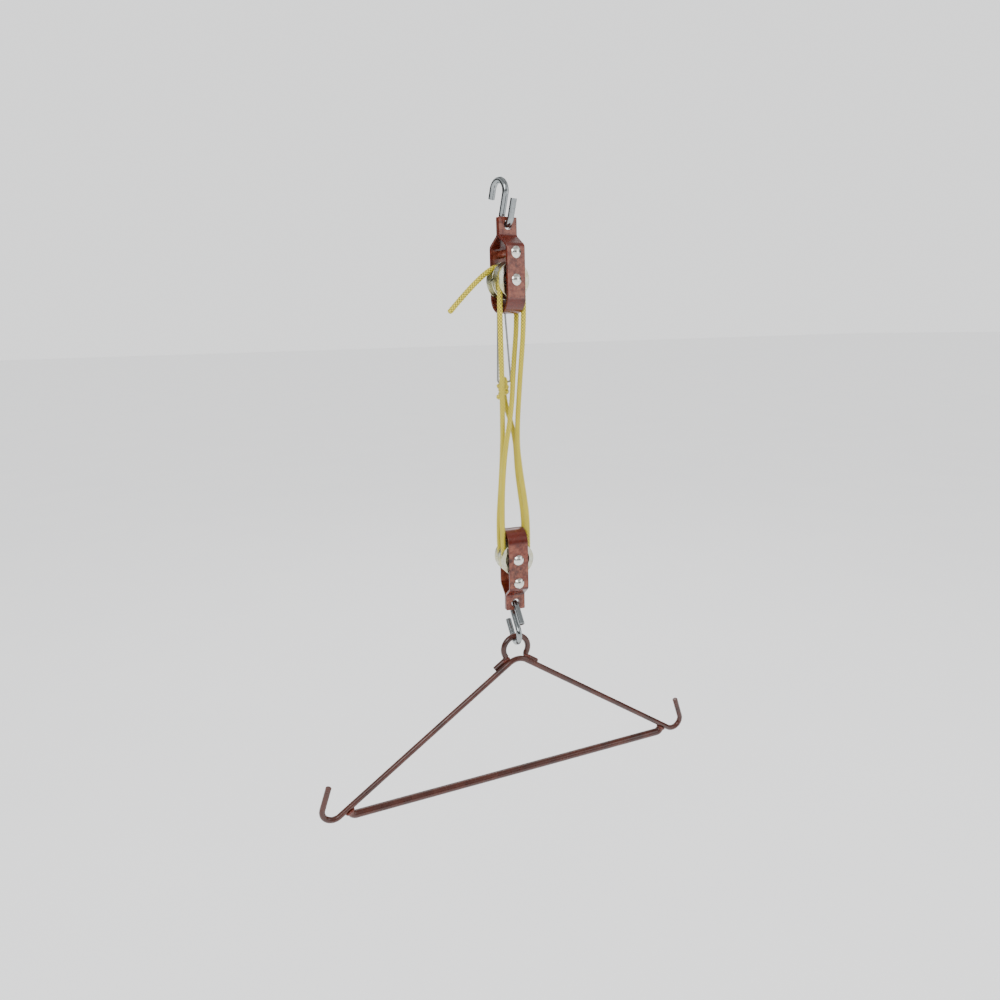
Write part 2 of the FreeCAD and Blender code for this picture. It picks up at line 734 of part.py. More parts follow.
def build():
    upper = block("upper")
    upper["upper_block_strap"] = upper["upper_block_strap"].cut(link_hole())
    upper["becket_link"] = becket_link()
    upper["becket_knot"] = becket_knot()
    nodes = place(upper, twist=UPPER_TWIST)
    nodes.update(place(block("lower"), height=-AXLE_SPACING, flipped=True))
    high = s_hook(UPPER_HOOK_LEAN, UPPER_HOOK_LARGE_LEG, UPPER_HOOK_SMALL_LEG)
    nodes["upper_s_hook"] = moved(spun(high, UP, UPPER_TWIST), V(0, 0, UPPER_PIVOT_Z))
    low = s_hook(hanging_lean(), LOWER_HOOK_LARGE_LEG, LOWER_HOOK_SMALL_LEG).mirror(V(0, 0, 0), UP)
    nodes["lower_s_hook"] = moved(low, V(0, 0, LOWER_PIVOT_Z))
    nodes.update(rope())
    nodes["rope_strand_4"] = nodes["rope_strand_4"].cut(nodes["becket_knot"])
    ring_top = V(0, 0, EYE_R)
    for name, shape in gambrel().items():
        leaned = spun(shape, V(1, 0, 0), GAMBREL_TILT, ring_top)
        nodes[name] = moved(spun(leaned, UP, GAMBREL_YAW), V(0, 0, EYE_Z))
    return {name: moved(shape, V(0, 0, 0) - SEAT) for name, shape in nodes.items()}


def main():
    os.makedirs("parts", exist_ok=True)
    nodes = build()
    for name, shape in sorted(nodes.items()):
        solids = shape.Solids
        bad = [s for s in solids if not s.isValid() or s.Volume <= 0]
        print(f"{name}: {len(solids)} solid(s), volume {shape.Volume:.1f}, bad {len(bad)}")
        shape.exportStep(f"parts/{name}.step")
    print(f"hoist line at x {-SEAT.x:.3f}, y {-SEAT.y:.3f}, upper axle at z {-SEAT.z:.3f}")


main()
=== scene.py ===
"""Rope hoist with a gambrel: looks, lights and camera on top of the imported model.

Metres, in the model's frame, except where a value says that it is in millimetres.
"""

import bpy
import math
import numpy as np
from mathutils import Matrix, Vector

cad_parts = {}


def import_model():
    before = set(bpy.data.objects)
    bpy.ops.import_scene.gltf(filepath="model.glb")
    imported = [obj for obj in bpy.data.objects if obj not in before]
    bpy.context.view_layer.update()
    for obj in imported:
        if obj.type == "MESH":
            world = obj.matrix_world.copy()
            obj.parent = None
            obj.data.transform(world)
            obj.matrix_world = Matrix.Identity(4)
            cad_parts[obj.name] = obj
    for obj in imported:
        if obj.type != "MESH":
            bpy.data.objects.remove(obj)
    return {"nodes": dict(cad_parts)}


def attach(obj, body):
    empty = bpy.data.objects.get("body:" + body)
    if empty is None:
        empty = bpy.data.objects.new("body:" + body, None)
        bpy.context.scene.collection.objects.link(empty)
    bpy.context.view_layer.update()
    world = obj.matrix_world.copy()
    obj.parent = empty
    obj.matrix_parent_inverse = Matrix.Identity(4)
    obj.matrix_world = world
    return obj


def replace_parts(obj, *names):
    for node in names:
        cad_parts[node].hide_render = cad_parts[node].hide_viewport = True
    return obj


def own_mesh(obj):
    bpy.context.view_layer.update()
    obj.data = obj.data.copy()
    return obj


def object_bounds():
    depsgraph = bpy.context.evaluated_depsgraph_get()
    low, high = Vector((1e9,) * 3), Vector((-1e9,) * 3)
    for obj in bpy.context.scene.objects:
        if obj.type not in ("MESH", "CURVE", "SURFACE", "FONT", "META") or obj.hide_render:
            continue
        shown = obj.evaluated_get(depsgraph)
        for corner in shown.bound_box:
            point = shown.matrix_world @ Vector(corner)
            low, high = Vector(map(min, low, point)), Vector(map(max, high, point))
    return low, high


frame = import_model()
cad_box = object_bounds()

# Where the hoist line meets the upper axle's height, and how far the upper block is turned
HOIST = Vector((0.003771, -0.014072, -0.114930))
TWIST = math.radians(15)

# The rope's route, in millimetres and degrees
AXLE_SPACING = 356
ROPE_LINE_R = 17.2
SHEAVE_Y = 7.7
HAUL_ANGLE = 82.0           # away from vertical, where it leaves the sheave
HAUL_RUN = 26.0
HAUL_FAR_ANGLE = 46.0       # beyond its bend
HAUL_FAR_RUN = 74.0
KNOT_X = -5.5
KNOT_Y = 7.0
KNOT_Z = -131
STRAND_4_TOP = -143.9       # where the last strand leaves the knot
COIL_R = 4.35               # the knot's turns, and how far they go down in 60 degrees
COIL_TOP = -128.2
COIL_DROP = 0.98

ROPE_R = 0.006350 / 2
HAUL_TAPER = 0.0025         # length over which a cut end draws in
TAIL_TAPER = 0.0018

# The braid: yarns each way, length of one turn, height of a crown and points round the rope
BRAID_CARRIERS = 5
BRAID_PITCH = 0.021
BRAID_RELIEF = 0.00062
ROPE_SEGMENTS = 44

# The weld beads
ARM_SLOPE = math.radians(34.4)
BEAD_SEGMENTS = 20
BEAD_RIPPLE = 0.0011
RING_R = 0.0052
RING_BEAD_R = 0.0017
RING_SINK = 0.0006
RUN_BEAD_R = 0.0021
RUN_INSET = 0.0015
RUN_DROP = 0.0022

# Spacing of the points that the rope, the knot and a weld bead are built on
CURVE_RESOLUTION = 24
ROUTE_STEP = 0.0004
ROPE_STEP = 0.0006
KNOT_STEP = 0.0005
BEAD_STEP = 0.00018

LATHE_RINGS = 9000.0        # radians of ripple per metre of a sheave's radius

FLOOR_HALF = 60.0
FLOOR_GAP = 0.42            # below the part at rest
LIGHT_AIM_Z = -0.36

# The camera: azimuth, aim, pitch and roll in degrees, height from the upper axle
CAMERA_ANGLES = (-19.9, -18.9, 12.8, -1.5)
CAMERA_DISTANCE = 0.951
CAMERA_HEIGHT = -0.0617
SENSOR = 36
FOCAL_SHARE = 0.739         # focal length, as a share of the sensor's width


# ---------------------------------------------------------------- rope route

def on_hoist(x, y, z):
    """A point given in millimetres from the hoist line and the upper axle's height."""
    return Vector((x, y, z)) / 1000 + HOIST


def in_upper_block(x, y, z):
    """The same, for a point in the twisted upper block's own frame."""
    c, s = math.cos(TWIST), math.sin(TWIST)
    return on_hoist(x * c - y * s, x * s + y * c, z)


def wrap(place, drop, y, start, sweep, count):
    """Corners of the rope's line round a sheave, as millimetres from its axle."""
    step = sweep / count
    reach = ROPE_LINE_R / math.cos(math.radians(step / 2))
    corners = []
    for i in range(count):
        a = math.radians(start + step * (i + 0.5))
        corners.append(place(reach * math.cos(a), y, reach * math.sin(a) - drop))
    return corners


STRAND_1 = [
    (15.6, 12.1, -50), (6.6, 4.0, -104), (-0.5, -5.4, -160),
    (-12.3, -8.8, -212), (-16.8, -8.6, -262), (-17.8, -7.7, -306),
]
STRAND_2 = [
    (19.6, -2.7, -50), (12.8, -2.4, -120), (6.6, -2.2, -196),
    (10.4, -3.9, -240), (15.2, -5.6, -276), (17.8, -7.7, -306),
]
STRAND_3 = [
    (-15.6, -12.1, -50), (-13.4, -7.6, -108), (-11.8, -1.6, -168),
    (-10.8, 3.4, -206), (-14.2, 5.6, -262), (-17.8, 7.7, -306),
]
STRAND_4 = [
    (-5.4, 6.6, -152), (4.6, 6.0, -182), (8.5, 6.2, -210),
    (9.4, 6.6, -240), (13.8, 6.8, -276), (17.8, 7.7, -306),
]


def rope_route():
    """The rope's corners from its free end, over both blocks, to the knot."""
    leave, far = math.radians(HAUL_ANGLE), math.radians(HAUL_FAR_ANGLE)
    tangent = (-ROPE_LINE_R * math.cos(leave), ROPE_LINE_R * math.sin(leave))
    bend = (tangent[0] - HAUL_RUN * math.sin(leave), tangent[1] - HAUL_RUN * math.cos(leave))
    end = (bend[0] - HAUL_FAR_RUN * math.sin(far), bend[1] - HAUL_FAR_RUN * math.cos(far))
    route = [in_upper_block(x, SHEAVE_Y, z) for x, z in (end, bend)]
    over = 180 - math.degrees(leave)
    route += wrap(in_upper_block, 0, SHEAVE_Y, over, -over, 3)
    route += [on_hoist(*p) for p in STRAND_1]
    route += wrap(on_hoist, AXLE_SPACING, -SHEAVE_Y, 180, 180, 4)
    route += [on_hoist(*p) for p in reversed(STRAND_2)]
    route += wrap(in_upper_block, 0, -SHEAVE_Y, 0, 180, 4)
    route += [on_hoist(*p) for p in STRAND_3]
    route += wrap(on_hoist, AXLE_SPACING, SHEAVE_Y, 180, 180, 4)
    route += [on_hoist(*p) for p in reversed(STRAND_4)]
    route.append(in_upper_block(KNOT_X, KNOT_Y, KNOT_Z))
    return route


def smooth_line(name, points):
    """Points of a smooth curve whose control points are the given ones."""
    data = bpy.data.curves.new(name, "CURVE")
    data.dimensions = "3D"
    spline = data.splines.new("NURBS")
    spline.points.add(len(points) - 1)
    for target, p in zip(spline.points, points):
        target.co = (p.x, p.y, p.z, 1)
    spline.use_endpoint_u = True
    spline.order_u = 3
    spline.resolution_u = CURVE_RESOLUTION
    holder = bpy.data.objects.new(name, data)
    mesh = bpy.data.meshes.new_from_object(holder)
    line = np.array([v.co for v in mesh.vertices], float).reshape(-1, 3)
    bpy.data.meshes.remove(mesh)
    bpy.data.objects.remove(holder)
    bpy.data.curves.remove(data)
    return line


def evenly(line, step):
    """The line again at an even spacing, and how far along it each point is."""
    along = np.concatenate([[0], np.cumsum(np.linalg.norm(np.diff(line, axis=0), axis=1))])
    at = np.linspace(0, along[-1], max(2, int(along[-1] / step)))
    return np.stack([np.interp(at, along, line[:, k]) for k in range(3)], axis=1), at


# ---------------------------------------------------------------- braided rope

def frames(line):
    """Two directions square to the line at each point, turning as little as possible along it."""
    tangent = np.gradient(line, axis=0)
    tangent /= np.linalg.norm(tangent, axis=1)[:, None]
    side = np.cross(tangent[0], (0.3, 0.9, 0.2))
    side /= np.linalg.norm(side)
    sides = [side]
    for t in tangent[1:]:
        side = side - t * (side @ t)
        side = side / np.linalg.norm(side)
        sides.append(side)
    sides = np.array(sides)
    return sides, np.cross(tangent, sides)


def braid_height(turn, along):
    """The braid's height, 0 in crevices to 1 on crowns, and which way the upper yarn runs."""
    a = BRAID_CARRIERS * (turn - along / BRAID_PITCH)
    b = BRAID_CARRIERS * (turn + along / BRAID_PITCH)
    first = (np.floor(a) + np.floor(b)) % 2 == 0
    across = np.where(first, a % 1, b % 1)
    lengthwise = np.where(first, b % 1, a % 1)
    height = np.sqrt(np.clip(np.sin(math.pi * across), 0, 1)) * (0.55 + 0.45 * np.sin(math.pi * lengthwise))
    return height, first


def rounded(gone, taper):
    """Share of the full radius at this distance from a rounded end."""
    return np.sqrt(np.clip(1 - (1 - np.clip(gone / taper, 0, 1)) ** 2, 0.02, 1))


def braided_tube(name, line, along, radius, ends):
    """Braided rope along evenly spaced points; ends are the lengths over which each end draws in."""
    segments = ROPE_SEGMENTS
    side, other = frames(line)
    turn = np.arange(segments) / segments
    height, first = braid_height(turn[None, :], along[:, None])
    radii = radius - BRAID_RELIEF * 0.6 + BRAID_RELIEF * height
    for k, taper in enumerate(ends):
        if taper:
            gone = (along - along[0]) if k == 0 else (along[-1] - along)
            radii = radii * rounded(gone, taper)[:, None]
    angle = 2 * math.pi * turn
    ring = np.cos(angle)[None, :, None] * side[:, None, :] + np.sin(angle)[None, :, None] * other[:, None, :]
    points = (line[:, None, :] + ring * radii[:, :, None]).reshape(-1, 3)
    rows = len(line)
    i, j = np.meshgrid(np.arange(rows - 1), np.arange(segments), indexing="ij")
    k = (j + 1) % segments
    near, far = i * segments, (i + 1) * segments
    quads = np.stack([near + j, near + k, far + k, far + j], axis=2)
    faces = quads.reshape(-1, 4)[:, ::-1].tolist()
    faces.append(list(range(segments)))
    faces.append(list(range((rows - 1) * segments, rows * segments))[::-1])
    mesh = bpy.data.meshes.new(name)
    mesh.from_pydata(points.tolist(), [], faces)
    mesh.polygons.foreach_set("use_smooth", [True] * (len(faces) - 2) + [False, False])
    crown = mesh.attributes.new("crown", "FLOAT", "POINT")
    crown.data.foreach_set("value", height.astype(np.float32).ravel())
    lay = mesh.attributes.new("lay", "FLOAT", "POINT")
    lay.data.foreach_set("value", first.astype(np.float32).ravel())
    mesh.validate()
    mesh.update()
    obj = bpy.data.objects.new(name, mesh)
    bpy.context.scene.collection.objects.link(obj)
    return obj


# ---------------------------------------------------------------- materials

def srgb(r, g, b):
    """Linear colour from a 0-255 screen colour."""
    out = []
    for v in (r, g, b):
        v /= 255
        out.append(v / 12.92 if v <= 0.04045 else ((v + 0.055) / 1.055) ** 2.4)
    return (*out, 1)


def set_stops(node, stops):
    """Give a colour ramp its stops."""
    elements = node.color_ramp.elements
    while len(elements) < len(stops):
        elements.new(0.5)
    for element, (at, colour) in zip(elements, stops):
        element.position = at
        element.color = colour


class Shader:
    """A new material with its principled shader, and short ways to add and join nodes."""

    def __init__(self, name):
        self.material = bpy.data.materials.new(name)
        self.material.use_nodes = True
        self.tree = self.material.node_tree
        self.main = self.tree.nodes["Principled BSDF"]
        self.place = self.add("ShaderNodeTexCoord").outputs["Object"]

    def add(self, kind, **values):
        node = self.tree.nodes.new(kind)
        for key, value in values.items():
            if hasattr(node, key):
                setattr(node, key, value)
            else:
                node.inputs[key.replace("_", " ")].default_value = value
        return node

    def join(self, a, b):
        self.tree.links.new(a, b)

    def set(self, **values):
        for key, value in values.items():
            self.main.inputs[key.replace("_", " ")].default_value = value

    def noise(self, scale, detail, roughness=0.55):
        node = self.add("ShaderNodeTexNoise", Scale=scale, Detail=detail, Roughness=roughness)
        self.join(self.place, node.inputs["Vector"])
        return node.outputs["Fac"]

    def ramp(self, value, stops):
        node = self.add("ShaderNodeValToRGB")
        set_stops(node, stops)
        self.join(value, node.inputs["Fac"])
        return node.outputs["Color"]

    def range(self, value, low, high, to_low, to_high):
        node = self.add("ShaderNodeMapRange")
        for key, number in zip(("From Min", "From Max", "To Min", "To Max"), (low, high, to_low, to_high)):
            node.inputs[key].default_value = number
        self.join(value, node.inputs["Value"])
        return node.outputs["Result"]

    def mix(self, share, a, b):
        node = self.add("ShaderNodeMix", data_type="RGBA")
        for socket, value in ((node.inputs[0], share), (node.inputs[6], a), (node.inputs[7], b)):
            if isinstance(value, (int, float, tuple)):
                socket.default_value = value
            else:
                self.join(value, socket)
        return node.outputs[2]

    def math(self, operation, a, b=None):
        node = self.add("ShaderNodeMath", operation=operation)
        for socket, value in zip(node.inputs, (a, b)):
            if value is None:
                continue
            if isinstance(value, (int, float)):
                socket.default_value = value
            else:
                self.join(value, socket)
        return node.outputs[0]

    def bump(self, height, strength, distance, under=None):
        node = self.add("ShaderNodeBump", Strength=strength, Distance=distance)
        self.join(height, node.inputs["Height"])
        if under:
            self.join(under, node.inputs["Normal"])
        return node.outputs["Normal"]

    def colour(self, value):
        self.join(value, self.main.inputs["Base Color"])

    def rough(self, value):
        self.join(value, self.main.inputs["Roughness"])

    def normal(self, value):
        self.join(value, self.main.inputs["Normal"])


def paint(name, deep, mid, light, worn, wear=0.6):
    """Dipped gloss enamel: slow tone changes, orange peel, thin paint on sharp edges."""
    s = Shader(name)
    tone = s.ramp(s.noise(38, 5), [(0.28, deep), (0.5, mid), (0.74, light)])
    mottled = s.mix(s.range(s.noise(420, 3), 0.35, 0.7, 0.0, 0.35), tone, deep)
    edge = s.add("ShaderNodeNewGeometry").outputs["Pointiness"]
    sharp = s.range(edge, 0.515, 0.56, 0.0, wear)
    ridge = s.math("MULTIPLY", sharp, s.range(s.noise(170, 6, 0.7), 0.4, 0.62, 0.0, 1.0))
    s.colour(s.mix(ridge, mottled, worn))
    s.rough(s.range(s.noise(90, 5), 0.3, 0.7, 0.2, 0.36))
    peel = s.bump(s.noise(620, 2), 0.12, 0.0004)
    s.normal(s.bump(s.noise(70, 3), 0.1, 0.0012, peel))
    s.set(Coat_Weight=0.3, Coat_Roughness=0.09, Specular_IOR_Level=0.42)
    return s.material


def zinc(name, cool, warm, dull, rough):
    """Bright zinc plate: soft colour drift, fine grain, small dull patches."""
    s = Shader(name)
    drift = s.mix(s.range(s.noise(45, 4), 0.35, 0.68, 0.0, 0.5), cool, warm)
    patch = s.range(s.noise(260, 6, 0.65), 0.55, 0.8, 0.0, 0.5)
    s.colour(s.mix(patch, drift, dull))
    grain = s.noise(900, 3, 0.6)
    broad = s.range(s.noise(130, 5), 0.3, 0.7, *rough)
    s.rough(s.math("ADD", broad, s.range(grain, 0.3, 0.7, -0.03, 0.04)))
    fine = s.bump(grain, 0.08, 0.0002)
    s.normal(s.bump(s.noise(150, 2), 0.07, 0.0006, fine))
    s.set(Metallic=1.0)
    return s.material


def turned_zinc(name, cool, warm, dull, axle, twist):
    """Zinc plate over lathe rings centred on a sheave's axle."""
    s = Shader(name)
    centred = s.add("ShaderNodeVectorMath", operation="SUBTRACT")
    s.join(s.place, centred.inputs[0])
    centred.inputs[1].default_value = axle
    turned = s.add("ShaderNodeVectorRotate", rotation_type="Z_AXIS")
    turned.inputs["Angle"].default_value = -twist
    s.join(centred.outputs[0], turned.inputs["Vector"])
    parts = s.add("ShaderNodeSeparateXYZ")
    s.join(turned.outputs[0], parts.inputs[0])
    across = s.math("POWER", parts.outputs["X"], 2.0)
    up = s.math("POWER", parts.outputs["Z"], 2.0)
    radius = s.math("SQRT", s.math("ADD", across, up))
    rings = s.math("SINE", s.math("MULTIPLY", radius, LATHE_RINGS))
    drift = s.mix(s.range(s.noise(70, 4), 0.32, 0.66, 0.0, 0.85), cool, warm)
    grime = s.range(s.noise(190, 6, 0.7), 0.5, 0.78, 0.0, 0.6)
    s.colour(s.mix(grime, drift, dull))
    s.rough(s.range(s.noise(160, 5), 0.3, 0.7, 0.16, 0.34))
    lathe = s.bump(rings, 0.1, 0.0001)
    s.normal(s.bump(s.noise(300, 3), 0.08, 0.0004, lathe))
    s.set(Metallic=1.0)
    return s.material


def bronze(name):
    s = Shader(name)
    tone = s.mix(s.range(s.noise(200, 4), 0.35, 0.65, 0.0, 1.0), srgb(176, 132, 78), srgb(128, 92, 52))
    pores = s.range(s.noise(2600, 2, 0.7), 0.58, 0.7, 0.0, 0.8)
    s.colour(s.mix(pores, tone, srgb(52, 40, 28)))
    s.rough(s.range(s.noise(400, 4), 0.3, 0.7, 0.28, 0.5))
    s.normal(s.bump(pores, 0.15, 0.0002))
    s.set(Metallic=1.0)
    return s.material


def rope_yarn(name, lit, body, crevice_shade, lay_tint):
    """Braided polyolefin yarn: painted highlight on crowns, painted shade in olive crevices, one yarn
    direction tinted darker, fine fibres and slow dirt.
    """
    s = Shader(name)
    crown = s.add("ShaderNodeAttribute", attribute_name="crown").outputs["Fac"]
    lay = s.add("ShaderNodeAttribute", attribute_name="lay").outputs["Fac"]
    # Painted shade and highlight: dark olive in the braid's crevices and bright yellow on its crowns, set by
    # crown height.
    base = s.ramp(crown, [(0.34, crevice_shade), (0.7, body), (0.96, lit)])
    # The yarns of one lay direction are tinted darker olive.
    shifted = s.mix(s.range(lay, 0.0, 1.0, 0.0, 0.22), base, lay_tint)
    patchy = s.mix(s.range(s.noise(55, 5), 0.42, 0.75, 0.0, 0.3), shifted, body)
    flecks = s.range(s.noise(1900, 3, 0.65), 0.52, 0.72, 0.0, 0.4)
    s.colour(s.mix(flecks, patchy, lit))
    s.rough(s.range(s.noise(800, 3), 0.3, 0.7, 0.36, 0.56))
    fibres = s.bump(s.noise(3200, 2, 0.6), 0.25, 0.0002)
    s.normal(s.bump(s.noise(900, 4), 0.2, 0.0003, fibres))
    s.set(Sheen_Weight=0.25, Sheen_Roughness=0.4, Specular_IOR_Level=0.55)
    return s.material


STRAP = paint("strap_enamel", srgb(46, 13, 6), srgb(82, 23, 10), srgb(102, 33, 15), srgb(146, 84, 62))
FRAME = paint("gambrel_enamel", srgb(40, 15, 9), srgb(64, 26, 15), srgb(80, 36, 23), srgb(128, 82, 66), 0.4)
WELD = paint("weld_enamel", srgb(58, 18, 9), srgb(86, 30, 16), srgb(106, 42, 26), srgb(150, 92, 70), 0.5)
HOOK = zinc("hook_zinc", srgb(158, 163, 165), srgb(138, 144, 144), srgb(74, 80, 80), (0.1, 0.22))
RIVET = zinc("rivet_zinc", srgb(232, 231, 224), srgb(216, 212, 196), srgb(150, 146, 134), (0.12, 0.26))
WIRE = zinc("wire_zinc", srgb(150, 152, 152), srgb(132, 132, 128), srgb(84, 84, 82), (0.26, 0.44))
STEEL = zinc("plain_steel", srgb(158, 158, 156), srgb(150, 146, 138), srgb(92, 88, 82), (0.24, 0.42))
BRONZE = bronze("bush_bronze")
# The rope's bright crown colour is a painted highlight, and its dark olive crevice colour is painted shade.
YARN = rope_yarn("rope_yarn", srgb(232, 212, 48), srgb(192, 174, 26), srgb(40, 36, 6), srgb(140, 130, 26))
upper_axle = on_hoist(0, 0, 0)
lower_axle = on_hoist(0, 0, -AXLE_SPACING)
sheave_tones = (srgb(206, 208, 200), srgb(190, 184, 128), srgb(104, 106, 92))
SHEAVE = {
    "upper": turned_zinc("sheave_zinc_upper", *sheave_tones, upper_axle, TWIST),
    "lower": turned_zinc("sheave_zinc_lower", *sheave_tones, lower_axle, 0),
}


def material_of(node):
    if node.endswith(("block_strap", "spacer_tube")):
        return STRAP
    if node.endswith("welds"):
        return WELD
    if node.startswith("gambrel"):
        return FRAME
    if node.endswith("s_hook"):
        return HOOK
    if node.endswith("rivet"):
        return RIVET
    if node.endswith("sheave"):
        return SHEAVE[node.split("_")[0]]
    if node.endswith("bush"):
        return BRONZE
    if node == "becket_link":
        return WIRE
    if node.startswith("rope") or node == "becket_knot":
        return YARN
    return STEEL


for node, obj in frame["nodes"].items():
    if not obj.material_slots:
        obj.data.materials.append(None)
    for material_slot in obj.material_slots:
        material_slot.material = material_of(node)


# ---------------------------------------------------------------- rope pieces

route = rope_route()
fine, _ = evenly(smooth_line("rope_route", route), ROUTE_STEP)
line, along = evenly(fine, ROPE_STEP)
upper_z = upper_axle.z
lower_z = lower_axle.z


def crossings(points, heights):
    """Index at which the line next crosses each height in turn."""
    found = []
    start = int(np.argmax(points[:, 2] > upper_z + 0.01))
    for height in heights:
        above = points[start:, 2] > height
        start += int(np.argmax(above != above[0]))
        found.append(start)
    return found


cuts = crossings(line, [upper_z, lower_z, lower_z, upper_z, upper_z, lower_z, lower_z])
cuts = [0] + cuts + [len(line) - 1]
ROPE_PIECES = [
    ("hauling_rope", ["rope_hauling_part", "rope_turn_upper_rear"], "upper_block", None),
    ("first_strand", ["rope_strand_1"], "upper_block", upper_z),
    ("lower_front_turn", ["rope_turn_lower_front"], "lower_block", None),
    ("second_strand", ["rope_strand_2"], "upper_block", upper_z),
    ("upper_front_turn", ["rope_turn_upper_front"], "upper_block", None),
    ("third_strand", ["rope_strand_3"], "upper_block", upper_z),
    ("lower_rear_turn", ["rope_turn_lower_rear"], "lower_block", None),
    ("fourth_strand", ["rope_strand_4"], "upper_block", upper_z + STRAND_4_TOP / 1000),
]


# ---------------------------------------------------------------- knot

def knot_place(x, y, z):
    return in_upper_block(x + KNOT_X, y + KNOT_Y, z)


def tied_knot():
    """The hitch round the link's bar: over the bar, two turns round itself, and a tail out to the left."""
    points = [
        (-0.4, 0.2, -140), (0.2, -3.2, -131), (0.2, -4.5, -123.5),
        (0, -2.6, -119.8), (0, 2.4, -119.8), (0.2, 4.6, -124),
    ]
    for k in range(13):
        a = math.radians(90 - 60 * k)
        points.append((COIL_R * math.cos(a), COIL_R * math.sin(a), COIL_TOP - k * COIL_DROP))
    points += [(-5.6, -1.6, -141.4), (-9.0, -2.8, -142.0), (-12.0, -3.4, -143.0)]
    knot_line, knot_along = evenly(smooth_line("knot_line", [knot_place(*p) for p in points]), KNOT_STEP)
    first = braided_tube("becket_hitch", knot_line, knot_along, ROPE_R, ends=(0.0, TAIL_TAPER))
    stub = [(1.0, 0.5, -126.5), (-3.5, -2.6, -127.6), (-7.5, -3.4, -128.0), (-11.8, -3.6, -129.2)]
    stub_line, stub_along = evenly(smooth_line("stub_line", [knot_place(*p) for p in stub]), KNOT_STEP)
    second = braided_tube("becket_hitch_end", stub_line, stub_along, ROPE_R * 0.95, ends=(0.0, TAIL_TAPER))
    return [first, second]


knot_pieces = tied_knot()
for piece in knot_pieces:
    piece.data.materials.append(YARN)
    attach(piece, "upper_block")
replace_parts(knot_pieces[0], "becket_knot")
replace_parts(knot_pieces[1], "becket_knot")

for (name, nodes, body, anchor_z), a, b in zip(ROPE_PIECES, cuts, cuts[1:]):
    part = line[a:b + 1]
    ends = (HAUL_TAPER, 0.0) if name == "hauling_rope" else (0.0, 0.0)
    piece = braided_tube(name, part, along[a:b + 1], ROPE_R, ends=ends)
    piece.data.materials.append(YARN)
    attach(piece, body)
    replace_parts(piece, *nodes)
    if anchor_z is not None:
        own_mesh(piece)


# ---------------------------------------------------------------- weld beads

def bead(name, points, radius, seed, closed=False):
    """Weld bead with overlapping ripples along a line of points."""
    fine_line, fine_along = evenly(np.array([tuple(p) for p in points]), BEAD_STEP)
    side, other = frames(fine_line)
    segments = BEAD_SEGMENTS
    rng = np.random.default_rng(seed)
    phase = (fine_along / BEAD_RIPPLE) % 1
    wander = np.interp(fine_along, np.linspace(0, fine_along[-1], 9), rng.normal(0, 0.06, 9))
    radii = radius * (0.86 + 0.16 * np.sqrt(phase) + wander)
    if not closed:
        gone = np.minimum(fine_along, fine_along[-1] - fine_along)
        radii = radii * rounded(gone, radius)
    angle = 2 * math.pi * np.arange(segments) / segments
    ring = np.cos(angle)[None, :, None] * side[:, None, :] + np.sin(angle)[None, :, None] * other[:, None, :]
    verts = (fine_line[:, None, :] + ring * radii[:, None, None]).reshape(-1, 3)
    faces = []
    rows = len(fine_line)
    for i in range(rows - 1):
        for j in range(segments):
            k = (j + 1) % segments
            faces.append((i * segments + j, (i + 1) * segments + j, (i + 1) * segments + k, i * segments + k))
    faces.append(tuple(range(segments)))
    faces.append(tuple(range((rows - 1) * segments, rows * segments))[::-1])
    mesh = bpy.data.meshes.new(name)
    mesh.from_pydata(verts.tolist(), [], faces)
    mesh.polygons.foreach_set("use_smooth", [True] * len(faces))
    mesh.materials.append(WELD)
    mesh.update()
    obj = bpy.data.objects.new(name, mesh)
    bpy.context.scene.collection.objects.link(obj)
    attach(obj, "gambrel")
    return obj


def one_side(node, side):
    """A CAD weld's points on one side of the hoist line, -1 for left and 1 for right."""
    mesh = frame["nodes"][node].data
    co = np.array([v.co for v in mesh.vertices], float).reshape(-1, 3)
    return co[(co[:, 0] > HOIST.x) == (side > 0)]


def weld_ring(node, name, side, seed):
    """Bead round the bar's end, found from the CAD weld's box."""
    own = one_side(node, side)
    centre = (own.max(0) + own.min(0)) / 2
    normal = Vector((side * math.sin(ARM_SLOPE), 0, math.cos(ARM_SLOPE)))
    u = Vector((0, 1, 0))
    v = normal.cross(u)
    points = []
    for k in range(49):
        a = 2 * math.pi * k / 48
        lift = 0.0012 * abs(math.cos(a)) ** 1.5
        around = (u * math.cos(a) + v * math.sin(a)) * RING_R
        points.append(Vector(centre) + around + normal * (lift - RING_SINK))
    return bead(name, points, RING_BEAD_R, seed, closed=True)


def weld_run(node, name, side, seed):
    """Bead along the groove between the eye's foot and the arm."""
    own = one_side(node, side)
    low, high = own.min(0), own.max(0)
    inner = high[0] if side < 0 else low[0]
    outer = low[0] if side < 0 else high[0]
    a = Vector((inner + side * RUN_INSET, (low[1] + high[1]) / 2, high[2] - RUN_DROP))
    b = Vector((outer - side * RUN_INSET, (low[1] + high[1]) / 2, low[2] + RUN_DROP))
    return bead(name, [a + (b - a) * (k / 20) for k in range(21)], RUN_BEAD_R, seed)


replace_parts(weld_ring("gambrel_bar_welds", "bar_weld_left", -1, 5), "gambrel_bar_welds")
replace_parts(weld_ring("gambrel_bar_welds", "bar_weld_right", 1, 8), "gambrel_bar_welds")
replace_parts(weld_run("gambrel_eye_welds", "eye_weld_left", -1, 11), "gambrel_eye_welds")
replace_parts(weld_run("gambrel_eye_welds", "eye_weld_right", 1, 13), "gambrel_eye_welds")


# ---------------------------------------------------------------- floor, lights and camera

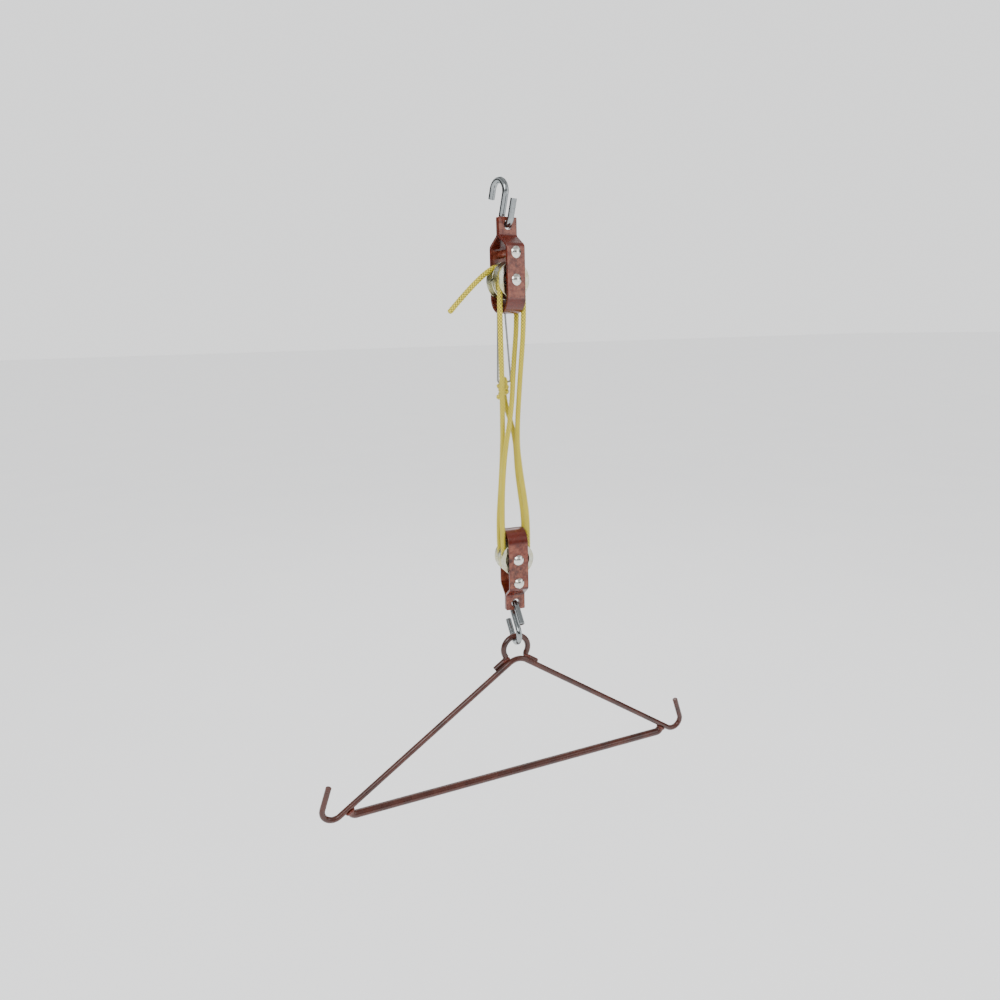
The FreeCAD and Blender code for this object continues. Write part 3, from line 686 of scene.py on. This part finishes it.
def floor():
    mesh = bpy.data.meshes.new("floor")
    half = FLOOR_HALF
    z = cad_box[0].z - FLOOR_GAP
    corners = [(-half, -half, z), (half, -half, z), (half, half, z), (-half, half, z)]
    mesh.from_pydata(corners, [], [(0, 1, 2, 3)])
    obj = bpy.data.objects.new("floor", mesh)
    bpy.context.scene.collection.objects.link(obj)
    s = Shader("floor_pale")
    s.colour(s.mix(s.noise(3, 3), srgb(252, 252, 252), srgb(247, 247, 248)))
    s.set(Roughness=0.8)
    mesh.materials.append(s.material)


def world():
    """Pale studio air, with a darker band near the horizon that only reflections see."""
    sky = bpy.data.worlds.new("studio")
    sky.use_nodes = True
    bpy.context.scene.world = sky
    tree = sky.node_tree
    tree.nodes.clear()
    out = tree.nodes.new("ShaderNodeOutputWorld")
    plain = tree.nodes.new("ShaderNodeBackground")
    plain.inputs["Color"].default_value = (0.97, 0.975, 0.98, 1)
    plain.inputs["Strength"].default_value = 1.5
    mirrored = tree.nodes.new("ShaderNodeBackground")
    place = tree.nodes.new("ShaderNodeTexCoord")
    parts = tree.nodes.new("ShaderNodeSeparateXYZ")
    ramp = tree.nodes.new("ShaderNodeValToRGB")
    stops = [
        (0.0, 0.6), (0.47, 0.45), (0.5, 0.06), (0.6, 0.05),
        (0.68, 0.5), (0.78, 1.0), (0.9, 0.35), (1.0, 0.9),
    ]
    set_stops(ramp, [(at, (grey, grey, grey, 1)) for at, grey in stops])
    half = tree.nodes.new("ShaderNodeMapRange")
    half.inputs["From Min"].default_value = -1
    half.inputs["From Max"].default_value = 1
    path = tree.nodes.new("ShaderNodeLightPath")
    mix = tree.nodes.new("ShaderNodeMixShader")
    link = tree.links.new
    link(place.outputs["Generated"], parts.inputs[0])
    link(parts.outputs["Z"], half.inputs["Value"])
    link(half.outputs["Result"], ramp.inputs["Fac"])
    link(ramp.outputs["Color"], mirrored.inputs["Color"])
    link(path.outputs["Is Glossy Ray"], mix.inputs["Fac"])
    link(plain.outputs[0], mix.inputs[1])
    link(mirrored.outputs[0], mix.inputs[2])
    link(mix.outputs[0], out.inputs["Surface"])


def area_light(name, place, target, size, watts):
    data = bpy.data.lights.new(name, "AREA")
    data.shape = "RECTANGLE"
    data.size, data.size_y = size
    data.energy = watts
    obj = bpy.data.objects.new(name, data)
    obj.location = place
    obj.rotation_mode = "QUATERNION"
    obj.rotation_quaternion = (Vector(target) - Vector(place)).to_track_quat("-Z", "Y")
    bpy.context.scene.collection.objects.link(obj)


def camera():
    """20 degrees to the left of square, a little below the upper block, looking down."""
    azimuth, aim, pitch, roll = (math.radians(v) for v in CAMERA_ANGLES)
    distance = CAMERA_DISTANCE
    place = Vector((distance * math.sin(azimuth), -distance * math.cos(azimuth), CAMERA_HEIGHT)) + HOIST
    ahead = Vector((-math.sin(aim) * math.cos(pitch), math.cos(aim) * math.cos(pitch), -math.sin(pitch)))
    level = Vector((math.cos(aim), math.sin(aim), 0))
    up = level.cross(ahead)
    right = level * math.cos(roll) + up * math.sin(roll)
    top = up * math.cos(roll) - level * math.sin(roll)
    data = bpy.data.cameras.new("camera")
    data.sensor_width = SENSOR
    data.lens = SENSOR * FOCAL_SHARE
    data.clip_start = 0.01
    obj = bpy.data.objects.new("camera", data)
    matrix = Matrix((right, top, -ahead)).transposed().to_4x4()
    matrix.translation = place
    obj.matrix_world = matrix
    bpy.context.scene.collection.objects.link(obj)
    bpy.context.scene.camera = obj


floor()
world()
middle = (HOIST.x, HOIST.y, LIGHT_AIM_Z)
area_light("key", (-1.5, -1.7, 1.1), middle, (1.3, 1.3), 30)
area_light("fill", (1.9, -1.5, 0.3), middle, (1.6, 1.6), 14)
area_light("back", (0.6, 2.0, 1.4), middle, (1.6, 1.2), 16)
camera()
